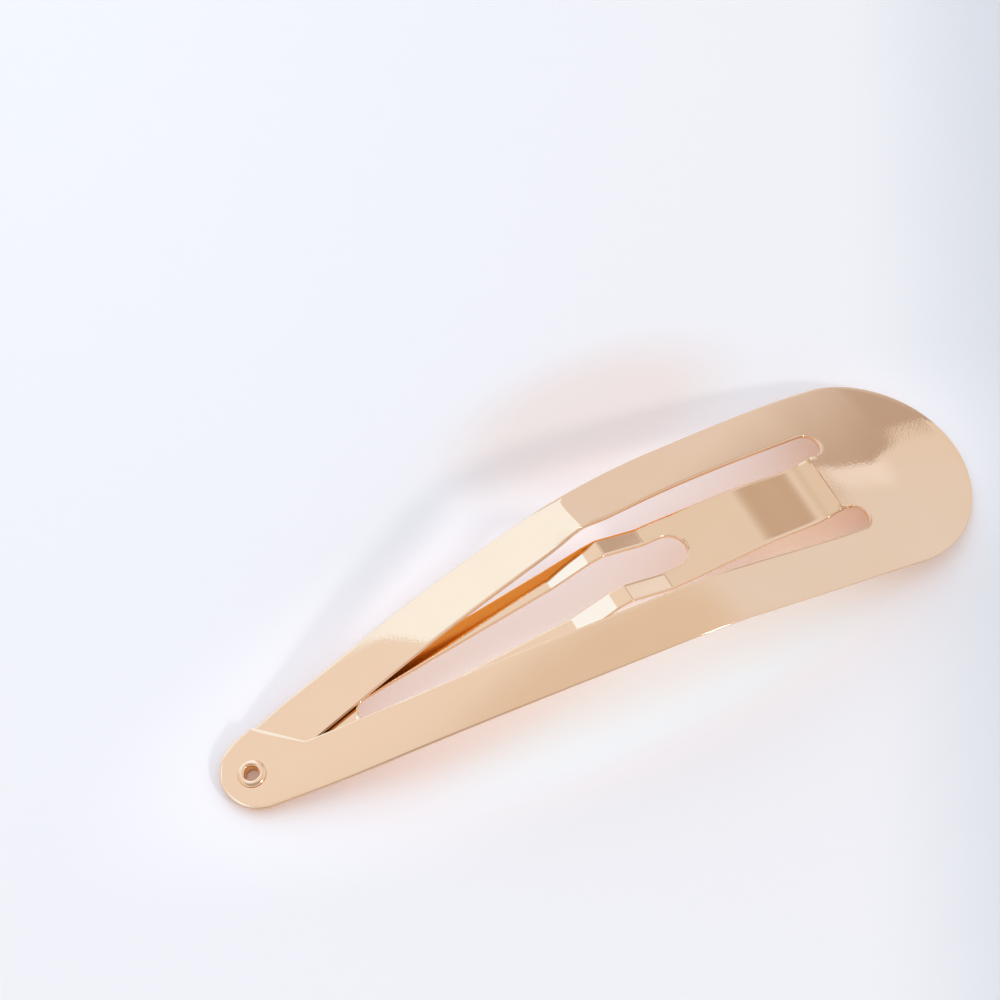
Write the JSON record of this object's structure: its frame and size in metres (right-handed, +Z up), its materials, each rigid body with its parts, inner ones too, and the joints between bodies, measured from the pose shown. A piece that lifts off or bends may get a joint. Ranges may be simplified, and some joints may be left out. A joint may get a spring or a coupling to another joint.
{
  "type": "snap hair clip",
  "caption": "Large flat snap hair clip: arched teardrop frame of rose-gold sheet, lapped arms closed by a small eyelet, and a stepped inner tongue with humped tines.",
  "frame": {"origin": "on the surface that it lies on, under the middle of its length and width", "axes": "+X from the wide head to the narrow end with the eyelet, +Y to the clip's left seen from above, +Z up"},
  "size_m": [0.09, 0.0238, 0.0122],
  "materials": {
    "plated_sheet": "polished rose-gold plating on spring steel",
    "plated_tongue": "polished rose-gold plating on spring steel",
    "plated_eyelet": "polished rose-gold plating on a clinched eyelet"
  },
  "bodies": {
    "root": {"head_plate": "plated_sheet", "tongue": "plated_tongue"},
    "bow": {"left_arm": "plated_sheet", "right_arm": "plated_sheet", "eyelet": "plated_eyelet"}
  },
  "joints": [
    {"name": "snap_open", "type": "hinge", "parent": "root", "child": "bow", "pos_m": [-0.0281, 0, 0.00589], "axis": [0, -1, 0], "range_deg": [0, 16]}
  ]
}
